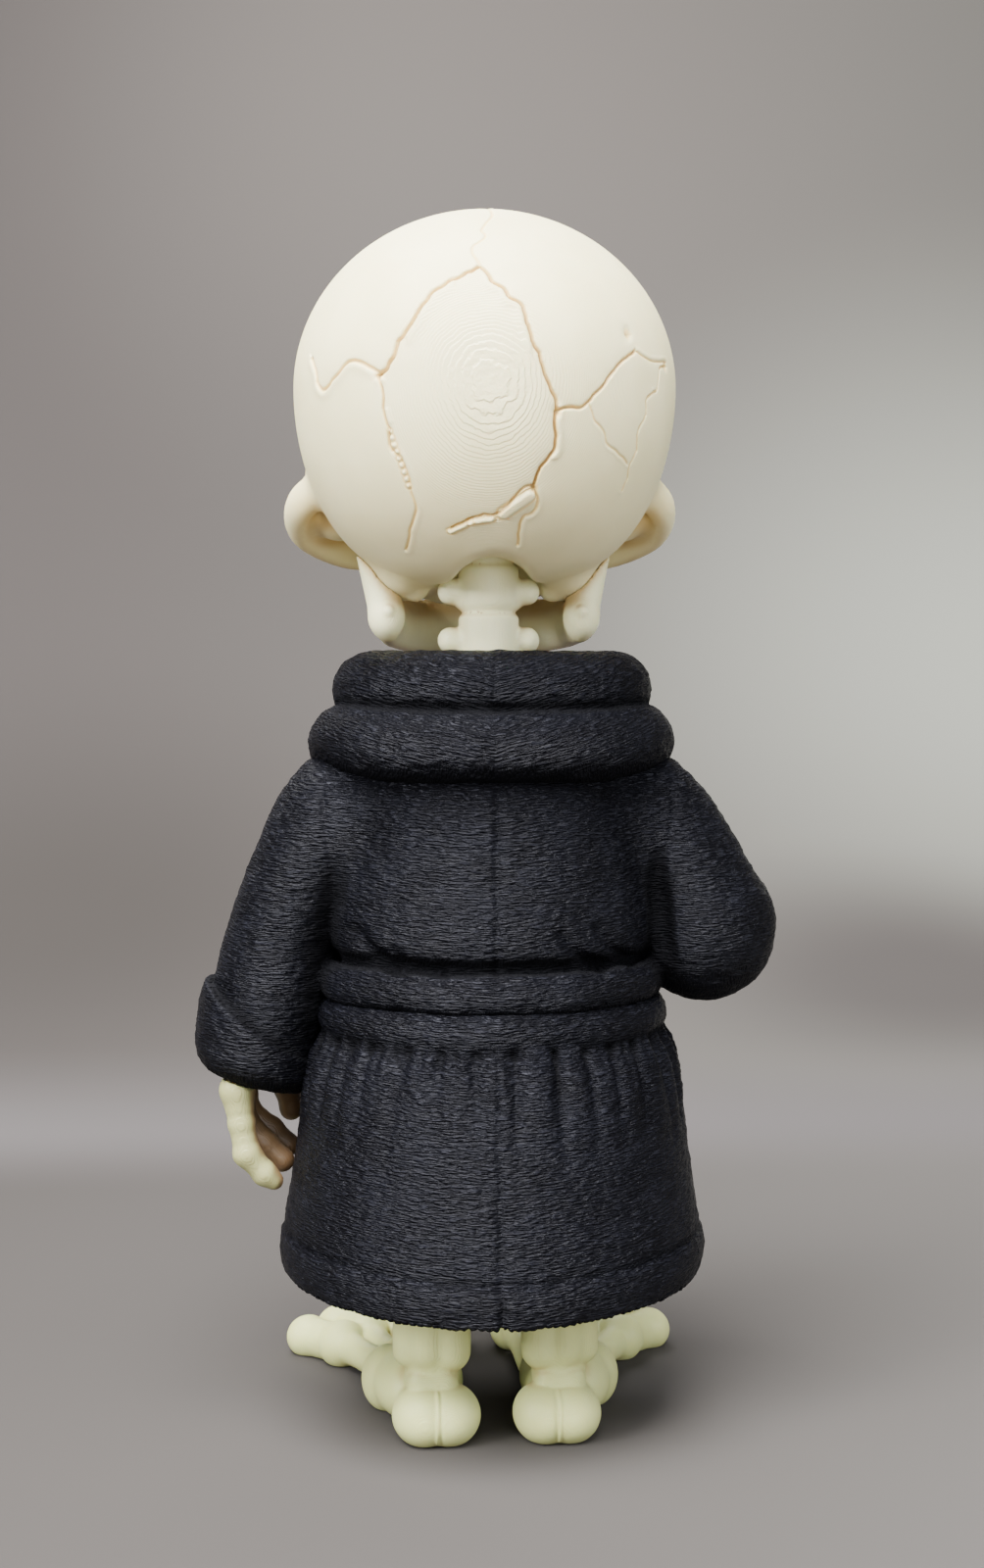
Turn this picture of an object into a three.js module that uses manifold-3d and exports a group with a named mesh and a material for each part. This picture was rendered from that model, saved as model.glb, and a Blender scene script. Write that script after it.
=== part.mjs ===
// A printed skeleton figure in a belted bathrobe, standing with one arm down and one elbow out.
// Millimetres, +Z up. The figure faces -Y and its left side is +X. The origin lies on the ground,
// under the middle of the figure's outline.
import * as THREE from "three";
import { mergeVertices } from "three/addons/utils/BufferGeometryUtils.js";
import Module from "manifold-3d";

const wasm = await Module();
wasm.setup();

// Driving dimensions
const FIT_GAP = 0.3; // clearance between pieces that touch
const LEFT = 1;
const RIGHT = -1;

const HEAD_X = 1.3; // the head sits a little towards the figure's left
const CRANIUM = { y: 1, z: 169.5, halfWidth: 30.9, back: 33, front: 30, up: 28.5, down: 37, baseLift: 5 };
const NECK = { x: 0.7, y: 2, bottom: 118.3, top: 146.1, pitch: 7.9, firstZ: 137.1, radius: 4.9 };
const NECK_SOCKET = { z: 137.5, radii: [11.5, 10, 9] };
const UNDERSIDE_Z = 30.5; // the robe's closed underside, inside the hem
const HEM_LIFT = 1.8; // how much higher the hem runs at the sides
const PLEATS = { count: 12, depth: 0.8, top: 62, bottom: 44 };
const HEEL = { x: 9.8, y: 9.6, radius: 6 };
const SHIN_X = 10.4;
const SOLE_CUT = 0.7; // how much of the lowest beads the flat soles take off

// Colours of the printed filaments
const BONE = 0xe9e0c6;
const PALE_BONE = 0xe2e2bb;
const BLACK = 0x191a1f;

const vec = (p) => new THREE.Vector3(...p);
const radians = THREE.MathUtils.degToRad;
const { lerp, smoothstep } = THREE.MathUtils;

// A closed geometry as a solid that can be joined and cut.
function solidOf(geometry) {
  const bare = geometry.clone();
  bare.deleteAttribute("normal");
  bare.deleteAttribute("uv");
  const merged = mergeVertices(bare, 1e-4);
  const corners = merged.index.array;
  const kept = [];
  for (let i = 0; i < corners.length; i += 3) {
    const [a, b, c] = corners.subarray(i, i + 3);
    if (a !== b && b !== c && a !== c) kept.push(a, b, c);
  }
  return new wasm.Manifold(
    new wasm.Mesh({
      numProp: 3,
      vertProperties: merged.attributes.position.array,
      triVerts: new Uint32Array(kept),
    }),
  );
}

const joined = (...solids) => solids.flat(2).reduce((whole, next) => whole.add(next));

function geometryOf(solid) {
  const mesh = solid.getMesh();
  const geometry = new THREE.BufferGeometry();
  geometry.setAttribute("position", new THREE.BufferAttribute(mesh.vertProperties, 3));
  geometry.setIndex(new THREE.BufferAttribute(mesh.triVerts, 1));
  geometry.computeVertexNormals();
  return geometry;
}

// Moves every vertex of a geometry by move(point), which changes the point in place.
function reshape(geometry, move) {
  const positions = geometry.attributes.position;
  const point = new THREE.Vector3();
  for (let i = 0; i < positions.count; i++) {
    point.fromBufferAttribute(positions, i);
    move(point, i);
    positions.setXYZ(i, point.x, point.y, point.z);
  }
  return geometry;
}

// An ellipsoid with its poles along Z, before it is turned.
function ball(at, radii, { turn = [0, 0, 0], around = 8 } = {}) {
  const geometry = new THREE.SphereGeometry(1, around, Math.round(around * 0.6));
  geometry.rotateX(Math.PI / 2).scale(...radii);
  geometry.applyMatrix4(new THREE.Matrix4().makeRotationFromEuler(new THREE.Euler(...turn)));
  return solidOf(geometry.translate(...at));
}

// A tapered rod with round ends, from one point to another.
function bone(from, to, fromRadius, toRadius, { around = 8, arcSteps = 2 } = {}) {
  const start = vec(from);
  const axis = vec(to).sub(start);
  const length = axis.length();
  const tilt = Math.asin((fromRadius - toRadius) / length);
  const profile = [];
  for (let i = 0; i <= arcSteps; i++) {
    const a = lerp(-Math.PI / 2, tilt, i / arcSteps);
    profile.push(new THREE.Vector2(fromRadius * Math.cos(a), fromRadius * Math.sin(a)));
  }
  for (let i = 0; i <= arcSteps; i++) {
    const a = lerp(tilt, Math.PI / 2, i / arcSteps);
    profile.push(new THREE.Vector2(toRadius * Math.cos(a), length + toRadius * Math.sin(a)));
  }
  const geometry = new THREE.LatheGeometry(profile, around);
  const turn = new THREE.Quaternion().setFromUnitVectors(new THREE.Vector3(0, 1, 0), axis.normalize());
  return solidOf(geometry.applyQuaternion(turn).translate(...from));
}

// A tube along a smooth curve, with an elliptical section [in plane, along across] at each point.
function limb(points, sections, { across = [0, 1, 0], around = 12, steps = 8 } = {}) {
  const curve = new THREE.CatmullRomCurve3(points.map(vec));
  const width = new THREE.SplineCurve(sections.map((s, i) => new THREE.Vector2(i, s[0])));
  const depth = new THREE.SplineCurve(sections.map((s, i) => new THREE.Vector2(i, s[1])));
  const geometry = new THREE.CylinderGeometry(1, 1, 1, around, steps);
  return solidOf(
    reshape(geometry, (p) => {
      const t = p.y + 0.5;
      const along = curve.getTangent(t);
      const deep = vec(across).addScaledVector(along, -along.dot(vec(across))).normalize();
      const wide = new THREE.Vector3().crossVectors(along, deep);
      const [x, z] = [p.x * width.getPoint(t).y, p.z * depth.getPoint(t).y];
      p.copy(curve.getPoint(t)).addScaledVector(wide, x).addScaledVector(deep, z);
    }),
  );
}

// Points listed for the left side, from the middle of the back to the front, as one line round both sides.
const bothSides = (half) => [...half.map(([x, y, z]) => [-x, y, z]).reverse(), ...half.slice(1)];

// Points spread along the front half of an ellipse, as tooth rows are.
function archPoints({ centre, wide, deep, spread, count }) {
  return Array.from({ length: count }, (_, i) => {
    const a = radians(lerp(-spread, spread, i / (count - 1)));
    return [centre[0] + wide * Math.sin(a), centre[1] - deep * Math.cos(a), centre[2]];
  });
}

// The egg of the cranium. The face side is a little narrower, and the base is rounded off flatter than the top.
function cranium(grow) {
  const { y, z, halfWidth, back, front, up, down, baseLift } = CRANIUM;
  const geometry = new THREE.SphereGeometry(1, 24, 14).rotateX(Math.PI / 2);
  return solidOf(
    reshape(geometry, (p) => {
      const narrow = 1 - 0.14 * smoothstep(-p.y, 0.2, 1) * smoothstep(-p.z, -0.3, 0.6);
      const below = Math.max(-p.z, 0);
      p.x *= (halfWidth + grow) * narrow;
      p.y *= (p.y > 0 ? back : front) + grow;
      p.z = p.z * ((p.z > 0 ? up : down) + grow) + baseLift * below ** 5;
      p.add(vec([0, y, z]));
    }),
  );
}

// The cheekbone's arch stands out from the side of the head and runs in under the eye.
function cheekbone(side, grow) {
  const points = [
    [25.5, 1, 155],
    [29.4, -6, 151.4],
    [28.4, -14, 148],
    [21, -23, 146.3],
    [13, -26.5, 147],
  ].map(([x, y, z]) => [side * x, y, z]);
  const sections = [
    [3.2, 4.2],
    [3, 4.6],
    [3, 4.4],
    [3.4, 4.2],
    [3.4, 3.6],
  ].map(([thick, tall]) => [thick + grow, tall + grow]);
  return limb(points, sections, { across: [0, 0, 1], around: 7, steps: 6 });
}

// A row of teeth as short pegs, rooted in the bone at one end.
const teeth = (arch, length, radius) =>
  archPoints(arch).map(([x, y, z]) => bone([x, y, z - length], [x, y, z], radius, radius, { around: 6, arcSteps: 1 }));

// The skull with everything on it made larger by grow, so that the jaw can be cut clear of it.
function skullForm(grow = 0) {
  return joined(
    cranium(grow),
    ball([0, -17.5, 148.5], [18 + grow, 13 + grow, 12 + grow], { around: 10 }),
    ball([0, -22.5, 163.5], [20 + grow, 9 + grow, 5 + grow], { around: 10 }),
    ball([0, -15, 141.4], [13.4 + grow, 13.4 + grow, 4.6 + grow], { around: 10 }),
    [LEFT, RIGHT].map((side) => cheekbone(side, grow)),
    teeth({ centre: [0, -16, 143.4], wide: 12, deep: 13.8, spread: 62, count: 8 }, 4.4, 1.8 + grow),
  );
}

function skull() {
  const eyes = [LEFT, RIGHT].map((side) => ball([side * 11.4, -28, 156.4], [8.4, 10, 8.6], { around: 12 }));
  const nose = [LEFT, RIGHT].map((side) =>
    ball([side * 1.9, -32, 148.2], [2.4, 6, 3.8], { turn: [0, side * -0.35, 0], around: 8 }),
  );
  const neckSocket = ball([NECK.x - HEAD_X, NECK.y, NECK_SOCKET.z], NECK_SOCKET.radii, { around: 10 });
  return skullForm().subtract(joined(eyes, nose, neckSocket)).translate(HEAD_X, 0, 0);
}

// The lower jaw: two upright branches that end in round lobes, and a bow with its row of teeth.
function jaw() {
  const bow = bothSides([
    [0, -28.4, 131.2],
    [9.6, -24.6, 131.2],
    [14.8, -12.5, 132.2],
    [15.8, 0, 133.4],
  ]);
  const bowSections = bow.map(() => [2.6, 3.9]);
  const branches = [LEFT, RIGHT].flatMap((side) => [
    bone([side * 17.8, -2, 144], [side * 16, 0.2, 133.4], 3.8, 2.9),
    ball([side * 16, 0.4, 133], [2.9, 3.4, 3.4]),
  ]);
  return joined(
    limb(bow, bowSections, { across: [0, 0, 1], around: 6, steps: 12 }),
    branches,
    teeth({ centre: [0, -15.2, 135.6], wide: 12.2, deep: 12.8, spread: 62, count: 8 }, 3, 1.7),
  )
    .subtract(skullForm(FIT_GAP))
    .translate(HEAD_X, 0, 0);
}

// The neck bones: a stack of spools, each with a knob on either side.
function neck() {
  const { x, y, bottom, top, pitch, firstZ, radius } = NECK;
  const profile = [new THREE.Vector2(0, bottom)];
  for (let level = 2; level >= 0; level--) {
    const z = firstZ - level * pitch;
    profile.push(new THREE.Vector2(radius * 0.88, Math.max(bottom, z - pitch * 0.5)));
    profile.push(new THREE.Vector2(radius * 1.06, z - pitch * 0.28));
    profile.push(new THREE.Vector2(radius, z + pitch * 0.3));
  }
  profile.push(new THREE.Vector2(radius * 0.9, top - 1.6));
  profile.push(new THREE.Vector2(radius * 0.6, top - 0.5), new THREE.Vector2(0, top));
  const column = new THREE.LatheGeometry(profile, 10).rotateX(Math.PI / 2);
  const knobs = [0, 1, 2].flatMap((level) => {
    const z = firstZ - level * pitch;
    return [LEFT, RIGHT].map((side) => bone([side * 3.5, 0, z + 0.4], [side * 6.3, 0, z], 2.9, 2, { around: 6 }));
  });
  return joined(solidOf(column), knobs).translate(x, y, 0);
}

// Half-width and half-depth of the robe from the rim of the hem up to the closed neck, with the belt's two rolls.
const ROBE_PROFILE = [
  { z: UNDERSIDE_Z, wide: 0, deep: 0 },
  { z: UNDERSIDE_Z, wide: 30.6, deep: 27.6 },
  { z: 24.4, wide: 31.9, deep: 28.9 },
  { z: 23.9, wide: 33.3, deep: 30.4 },
  { z: 26.4, wide: 34.6, deep: 31.6 },
  { z: 30, wide: 34.9, deep: 31.8 },
  { z: 40, wide: 33.3, deep: 30.2 },
  { z: 52, wide: 31.8, deep: 27.8 },
  { z: 60, wide: 30.2, deep: 25.6 },
  { z: 65.2, wide: 27.2, deep: 23 },
  { z: 67, wide: 28.6, deep: 24.4 },
  { z: 70, wide: 28.5, deep: 24.3 },
  { z: 71.2, wide: 27.7, deep: 23.6 },
  { z: 75, wide: 28, deep: 23.9 },
  { z: 76.6, wide: 26.2, deep: 22.2 },
  { z: 81, wide: 27.4, deep: 22.8 },
  { z: 90, wide: 27, deep: 22 },
  { z: 99, wide: 25.5, deep: 20.2 },
  { z: 107, wide: 24.5, deep: 17.5 },
  { z: 116.5, wide: 22, deep: 17.6 },
  { z: 118, wide: 18.5, deep: 14.4 },
  { z: 118, wide: 0, deep: 0 },
];

// The robe's body is turned, then flattened front to back, its skirt pleated and its hem lifted at the sides.
function robeBody() {
  const profile = ROBE_PROFILE.map(({ z, wide }) => new THREE.Vector2(wide, z));
  const geometry = new THREE.LatheGeometry(profile, 3 * PLEATS.count).rotateX(Math.PI / 2);
  return solidOf(
    reshape(geometry, (p, i) => {
      const { z, wide, deep } = ROBE_PROFILE[i % ROBE_PROFILE.length];
      if (wide === 0) return;
      const angle = Math.atan2(p.y, p.x);
      const gather = z > UNDERSIDE_Z && z < PLEATS.top ? smoothstep(z, PLEATS.bottom, PLEATS.top) : 0;
      const scale = 1 + (PLEATS.depth * Math.cos(PLEATS.count * angle) * gather) / wide;
      if (z !== UNDERSIDE_Z) p.z += HEM_LIFT * Math.cos(angle) ** 2 * (1 - smoothstep(z, 24, 42));
      p.x *= scale;
      p.y *= (scale * deep) / wide;
    }),
  );
}

// The left sleeve hangs, and widens to a turned-back cuff cut on the slant.
function leftSleeve() {
  const sleeve = limb(
    [
      [14, 0.5, 110],
      [24.6, 0.5, 102.3],
      [31, -0.5, 90.3],
      [34.4, -2, 81],
      [36.8, -3, 72],
      [40.4, -4, 60],
    ],
    [
      [6, 9],
      [9.2, 10.8],
      [9.1, 10.6],
      [9.2, 10.4],
      [9.6, 10.4],
      [8.6, 10],
    ],
    { steps: 7 },
  );
  const cuff = limb(
    [
      [37.2, -3.1, 70.5],
      [38.6, -3.5, 66],
      [40.2, -3.9, 61],
      [40.9, -4.1, 59],
    ],
    [
      [9.4, 10.6],
      [10.4, 11.6],
      [9.9, 11.2],
      [8.4, 9.8],
    ],
    { steps: 3 },
  );
  return joined(sleeve, cuff);
}

// The right sleeve is bent: the elbow stands out at the side and the forearm comes round to the chest.
function rightSleeve() {
  const upperArm = limb(
    [
      [-14, 0.5, 110],
      [-24.6, 0.5, 102.3],
      [-31.4, 0.5, 91.5],
      [-34.6, 0.6, 84],
    ],
    [
      [6, 9],
      [9.2, 10.8],
      [10.4, 11],
      [11.2, 11.2],
    ],
    { steps: 5 },
  );
  const elbow = ball([-35.3, 0.4, 81.6], [11.9, 11.4, 12.2], { around: 14 });
  const forearm = limb(
    [
      [-35.3, -1, 82.4],
      [-35, -10, 83],
      [-31.5, -19, 84.2],
      [-29.5, -22, 84.8],
    ],
    [
      [10.8, 10.8],
      [10.6, 10.6],
      [11.4, 11.4],
      [9.6, 9.6],
    ],
    { across: [0, 0, 1], steps: 5 },
  );
  return joined(upperArm, elbow, forearm);
}

// The shawl collar: two thick rolls round the neck that come down in front to the belt.
function collar() {
  const upperRoll = bothSides([
    [0, 15.6, 121.9],
    [13.5, 12, 121.9],
    [20.5, 2, 121.4],
    [17.5, -9.5, 116.5],
    [10.5, -17, 106],
    [4, -21.5, 93],
    [0.8, -22.5, 82],
  ]);
  const lowerRoll = bothSides([
    [0, 18.8, 112.6],
    [15.5, 15, 112.8],
    [24, 3, 113.2],
    [22.5, -10, 108],
    [15.5, -18.5, 97],
    [7, -22.5, 85],
    [2.2, -23, 77.5],
  ]);
  return [upperRoll, lowerRoll].map((roll) =>
    limb(
      roll,
      roll.map(() => [5.6, 5.6]),
      { across: [0, 0, 1], around: 8, steps: 14 },
    ),
  );
}

// The belt's knot at the front, with its two ends hanging over the skirt.
function beltKnot() {
  const tail = (side) =>
    limb(
      [
        [side * 1.5, -26, 70],
        [side * 3.4, -28.6, 63],
        [side * 4.8, -31, 53],
        [side * 5.4, -32.6, 42],
      ],
      [
        [2.4, 2],
        [2.8, 1.7],
        [3, 1.6],
        [3.2, 1.6],
      ],
      { around: 6, steps: 4 },
    );
  return joined(ball([0, -25.5, 70.8], [4.6, 4, 4.6]), tail(LEFT), tail(RIGHT));
}

const robe = () => joined(robeBody(), leftSleeve(), rightSleeve(), collar(), beltKnot());

// A finger: each bone is thick at its joint and slimmer towards the next one.
const finger = (joints, radius) =>
  joints.slice(1).map((joint, i) => bone(joints[i], joint, radius, radius * 0.84, { around: 6 }));

const shifted = (points, [x, y, z]) => points.map((p) => [p[0] + x, p[1] + y, p[2] + z]);

// The left hand hangs out of the cuff with its fingers curled in towards the thigh.
function leftHand() {
  const nearest = [
    [42.4, 2, 54],
    [41.8, 2.4, 47.6],
    [40, 2.6, 43.6],
    [37.2, 2.4, 40.8],
  ];
  const fingers = [0, 1, 2].map((i) => shifted(nearest, [-1.8 * i, -5.6 * i, 0.2 * i]));
  const thumb = [
    [36.5, -9, 57],
    [33.8, -11.5, 52.6],
    [33.2, -12.5, 48],
  ];
  return joined(
    fingers.map((joints) => finger(joints, 2.75)),
    bone([41.6, 1.5, 55.5], [38.6, -9.5, 55], 3.4, 3.2, { around: 6 }),
    bone([40.4, -4.2, 58], [40, -4.6, 56], 5.2, 4.4, { around: 8, arcSteps: 1 }),
    finger(thumb, 2.5),
  ).subtract(robe());
}

// The right hand comes out of its cuff and is held closed before the chest.
function rightHand() {
  const top = [
    [-19.5, -33.4, 90],
    [-12.8, -35, 90.2],
    [-10.2, -31.4, 89.6],
  ];
  const fingers = [0, 1, 2].map((i) => shifted(top, [0.5 * i, -0.4 * i, -5.2 * i]));
  const thumb = [
    [-21.5, -28.6, 91.5],
    [-16.4, -29.6, 94.6],
    [-12.2, -30.6, 94.4],
  ];
  return joined(
    fingers.map((joints) => finger(joints, 2.7)),
    bone([-19.6, -32.6, 89.4], [-18.8, -33.4, 80.4], 3.5, 3.4),
    bone([-28.3, -25.4, 85.2], [-21, -31.4, 85], 4.6, 4.8),
    finger(thumb, 2.4),
  ).subtract(robe());
}

// Where each toe starts in the midfoot, and the middle of its two beads, on the left foot.
const TOES = [
  { root: [16.5, -9, 5], knuckle: [25, -27.2], tip: [31.6, -33.6] },
  { root: [14, -10, 5.4], knuckle: [19.2, -31.2], tip: [23.8, -39] },
  { root: [11, -11, 5.6], knuckle: [13, -33.4], tip: [15.4, -41.6] },
  { root: [8, -11, 5.6], knuckle: [6.4, -33.8], tip: [6.6, -42.2] },
];
const TOE_BEADS = { knuckle: 4, tip: 3.5, shaft: 2.9 };

// A leg below the hem: the shin's end, the ankle, the two-lobed heel, the midfoot and four beaded toes.
function leg(side) {
  const at = ([x, y, z]) => [side * x, y, z];
  const { knuckle: knuckleRadius, tip: tipRadius, shaft } = TOE_BEADS;
  const toeDetail = { around: 6 };
  const toes = TOES.map(({ root, knuckle, tip }) => {
    const bend = at([...knuckle, knuckleRadius]);
    const end = at([...tip, tipRadius]);
    return [bone(at(root), bend, shaft, knuckleRadius, toeDetail), bone(bend, end, shaft, tipRadius, toeDetail)];
  });
  const shin = limb(
    [
      at([SHIN_X, 8, UNDERSIDE_Z - FIT_GAP]),
      at([SHIN_X, 8, 24]),
      at([SHIN_X, 8.4, 17]),
      at([HEEL.x, 8.6, 13]),
    ],
    [
      [6.2, 6],
      [6, 5.8],
      [5.7, 5.6],
      [4.4, 4.4],
    ],
    { around: 8, steps: 4 },
  );
  const form = joined(
    shin,
    bone(at([HEEL.x, 7.8, 14]), at([HEEL.x, 7.4, 9.6]), 4.6, 4.8),
    [LEFT, RIGHT].map((lobe) =>
      ball(at([HEEL.x + lobe * 2.1, HEEL.y, HEEL.radius]), [4.8, HEEL.radius, HEEL.radius]),
    ),
    ball(at([12.4, -2, 6]), [8, 11.5, 6.4]),
    ball(at([17.2, -5.2, 5.4]), [5, 6.2, 5.6]),
    toes,
  );
  const ground = new THREE.BoxGeometry(200, 200, 20).translate(0, 0, SOLE_CUT - 10);
  return form.subtract(solidOf(ground)).translate(0, 0, -SOLE_CUT);
}

const material = (color, roughness) => new THREE.MeshStandardMaterial({ color, roughness, metalness: 0 });

const PIECES = {
  skull: { solid: skull, material: material(BONE, 0.5) },
  jaw: { solid: jaw, material: material(BONE, 0.5) },
  neck: { solid: neck, material: material(BONE, 0.5) },
  robe: { solid: robe, material: material(BLACK, 0.6) },
  left_hand: { solid: leftHand, material: material(PALE_BONE, 0.5) },
  right_hand: { solid: rightHand, material: material(PALE_BONE, 0.5) },
  left_leg: { solid: () => leg(LEFT), material: material(PALE_BONE, 0.5) },
  right_leg: { solid: () => leg(RIGHT), material: material(PALE_BONE, 0.5) },
};

const figure = new THREE.Group();
for (const [name, piece] of Object.entries(PIECES)) {
  const mesh = new THREE.Mesh(geometryOf(piece.solid()), piece.material);
  mesh.name = name;
  figure.add(mesh);
}

// The origin goes under the middle of the figure's outline.
const middle = new THREE.Box3().setFromObject(figure).getCenter(new THREE.Vector3());
figure.position.set(-middle.x, -middle.y, 0);

export default figure;
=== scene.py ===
"""A printed skeleton figure in a black bathrobe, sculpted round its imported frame.

Forms are in millimetres in the figure's own frame: +Z up, facing -Y, its left towards +X, with the body's
middle over the origin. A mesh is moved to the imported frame, in metres, as it is made.
"""

import math

import bmesh
import bpy
import numpy as np
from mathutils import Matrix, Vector


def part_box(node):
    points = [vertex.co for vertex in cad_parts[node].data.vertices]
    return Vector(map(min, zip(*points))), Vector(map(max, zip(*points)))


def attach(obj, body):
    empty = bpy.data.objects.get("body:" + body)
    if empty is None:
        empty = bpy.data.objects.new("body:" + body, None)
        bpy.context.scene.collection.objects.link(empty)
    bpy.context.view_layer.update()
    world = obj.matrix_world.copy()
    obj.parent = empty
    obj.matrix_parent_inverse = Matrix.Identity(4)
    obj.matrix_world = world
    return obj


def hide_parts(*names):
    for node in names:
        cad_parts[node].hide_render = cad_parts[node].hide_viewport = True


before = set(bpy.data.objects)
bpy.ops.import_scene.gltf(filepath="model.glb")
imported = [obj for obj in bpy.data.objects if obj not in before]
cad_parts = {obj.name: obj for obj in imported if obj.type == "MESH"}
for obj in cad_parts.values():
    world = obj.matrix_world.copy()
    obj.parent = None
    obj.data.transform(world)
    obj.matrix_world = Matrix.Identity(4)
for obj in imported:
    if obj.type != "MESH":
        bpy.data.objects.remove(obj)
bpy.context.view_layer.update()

MM = 0.001
LEFT, RIGHT = 1, -1
SIDES = (LEFT, RIGHT)

# The head and the neck stand a little towards the figure's left.
HEAD_X = 1.3
NECK_X, NECK_Y = 0.7, 2.0
FIT_GAP = 0.3

# Where the random grains start.
SEEDS = {
    "cracks": 3, "front seam": 31, "gathers": 7, "lower roll": 63, "upper roll": 66, "belt": 61,
    "hem teeth": 71, "fleece": 20, "back seam": 41, "hem fold": 45, "heel": 81,
}

PACKED_SHIFT = np.mean(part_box("neck"), axis=0) * [1, 1, 0] / MM - [NECK_X, NECK_Y, 0]


# Sculpting kit: a shape is a function from points to their distance from its surface, negative inside.


def lengths(rows):
    return np.linalg.norm(rows, axis=1)


def turning(degrees):
    """The matrix that undoes a turn about X, then Y, then Z, for points in rows."""
    matrix = np.eye(3)
    for axis, angle in enumerate(np.radians(degrees)):
        step, u, v = np.eye(3), axis - 2, axis - 1
        step[[u, v], [u, v]] = math.cos(angle)
        step[v, u], step[u, v] = math.sin(angle), -math.sin(angle)
        matrix = step @ matrix
    return matrix


def ball(centre, radii, turn=(0, 0, 0)):
    """A ball, or an egg when it has a radius for each axis."""
    centre, radii, spin = np.array(centre), np.array(radii, float), turning(turn)

    def distance(p):
        q = (p - centre) @ spin
        reach = np.maximum(lengths(q / radii), 1e-4)
        slope = lengths(q / radii**2)
        return reach * (reach - 1) / np.maximum(slope, 1e-6)

    return distance


def rod(start, end, start_radius, end_radius=None):
    """A straight rod with round ends, which may taper."""
    start, end = np.array(start, float), np.array(end, float)
    end_radius = start_radius if end_radius is None else end_radius
    along = end - start
    squared = max(along @ along, 1e-9)

    def distance(p):
        part = np.clip((p - start) @ along / squared, 0, 1)
        gap = lengths(p - start - part[:, None] * along)
        return gap - start_radius - part * (end_radius - start_radius)

    return distance


def smooth_path(points, per_span=6):
    """Rows of numbers with smooth steps put in between them."""
    rows = np.array(points, float)
    rows = np.vstack([2 * rows[0] - rows[1], rows, 2 * rows[-1] - rows[-2]])
    t = np.arange(per_span)[:, None] / per_span
    spans = []
    for a, b, c, d in zip(rows, rows[1:], rows[2:], rows[3:]):
        bend = (2 * a - 5 * b + 4 * c - d) * t**2 + (3 * b - a - 3 * c + d) * t**3
        spans.append(b + 0.5 * ((c - a) * t + bend))
    return np.vstack([*spans, rows[-2:-1]])


def tube(points, stretch=(1, 1, 1), per_span=6):
    """A tube along a smooth line. Each point is x, y, z and radius; stretch makes it oval."""
    stretch = np.array(stretch, float)
    rows = smooth_path(points, per_span)
    centres, radii = rows[:, :3] / stretch, rows[:, 3]
    links, growth = np.diff(centres, axis=0), np.diff(radii)
    far_out = (centres**2).sum(axis=1)
    squared = (links**2).sum(axis=1)

    def distance(p):
        q = p / stretch
        nearest = np.argmin(far_out - 2 * q @ centres.T, axis=1)
        best = np.full(len(p), np.inf)
        for link in (nearest - 1, nearest):
            link = np.clip(link, 0, len(links) - 1)
            away = q - centres[link]
            part = np.clip((away * links[link]).sum(axis=1) / squared[link], 0, 1)
            gap = lengths(away - part[:, None] * links[link])
            best = np.minimum(best, gap - radii[link] - part * growth[link])
        return best * stretch.min()

    return distance


def below(height):
    """Everything under a level."""
    return lambda p: p[:, 2] - height


def above(height):
    """Everything over a level."""
    return lambda p: height - p[:, 2]


def facing(place, direction):
    """Everything behind a plane at a place that faces a direction."""
    return lambda p: (p - place) @ np.array(direction)


def grown(shape, extra):
    return lambda p: shape(p) - extra


def moved(shape, x):
    return lambda p: shape(p - [x, 0, 0])


def oval(p, wide, deep):
    """How far out points are, with 1 on an upright oval."""
    return np.sqrt((p[:, 0] / wide) ** 2 + (p[:, 1] / deep) ** 2)


def on_side(side, points):
    """Points of the left side, put on either side."""
    return [(side * x, *rest) for x, *rest in points]


def both_sides(half):
    """One line round both sides, from the half that goes out to the left."""
    return [*reversed(on_side(RIGHT, half)), *half[1:]]


def melt(a, b, soft):
    """Two forms joined, with a soft hollow where they meet."""
    part = np.clip(0.5 + 0.5 * (b - a) / soft, 0, 1)
    return b * (1 - part) + a * part - soft * part * (1 - part)


def carve(a, b, soft):
    """The first form with the second cut out of it."""
    return -melt(-a, b, soft)


def keep(a, b, soft):
    """What the two forms share."""
    return -melt(-a, -b, soft)


class Clay:
    """A form made from shapes that are added, cut away or kept in turn."""

    FAR = 1e3

    def __init__(self):
        self.steps = []

    def _step(self, how, shapes, soft):
        self.steps += [(how, shape, soft) for shape in shapes]
        return self

    def add(self, *shapes, soft=0.6):
        return self._step(melt, shapes, soft)

    def cut(self, *shapes, soft=0.4):
        return self._step(carve, shapes, soft)

    def keep(self, *shapes, soft=0.4):
        return self._step(keep, shapes, soft)

    def __call__(self, p):
        form = np.full(len(p), self.FAR)
        for how, shape, soft in self.steps:
            form = how(form, shape(p), soft)
        return form


def ease(value, low, high):
    """A smooth rise from 0 at low to 1 at high."""
    t = np.clip((value - low) / (high - low), 0, 1)
    return t * t * (3 - 2 * t)


def random_of(cells, seed):
    """A steady random number from 0 to 1 for each cell."""
    x, y, z = (cells[:, axis].astype(np.int64) for axis in range(3))
    mixed = (x * 73856093) ^ (y * 19349663) ^ (z * 83492791) ^ (seed * 2971215073)
    mixed = ((mixed ^ (mixed >> 13)) * 1274126177) & 0x7FFFFFFF
    mixed = ((mixed ^ (mixed >> 15)) * 2246822519) & 0x7FFFFFFF
    return (mixed >> 8) / float(0x7FFFFF)


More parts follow.
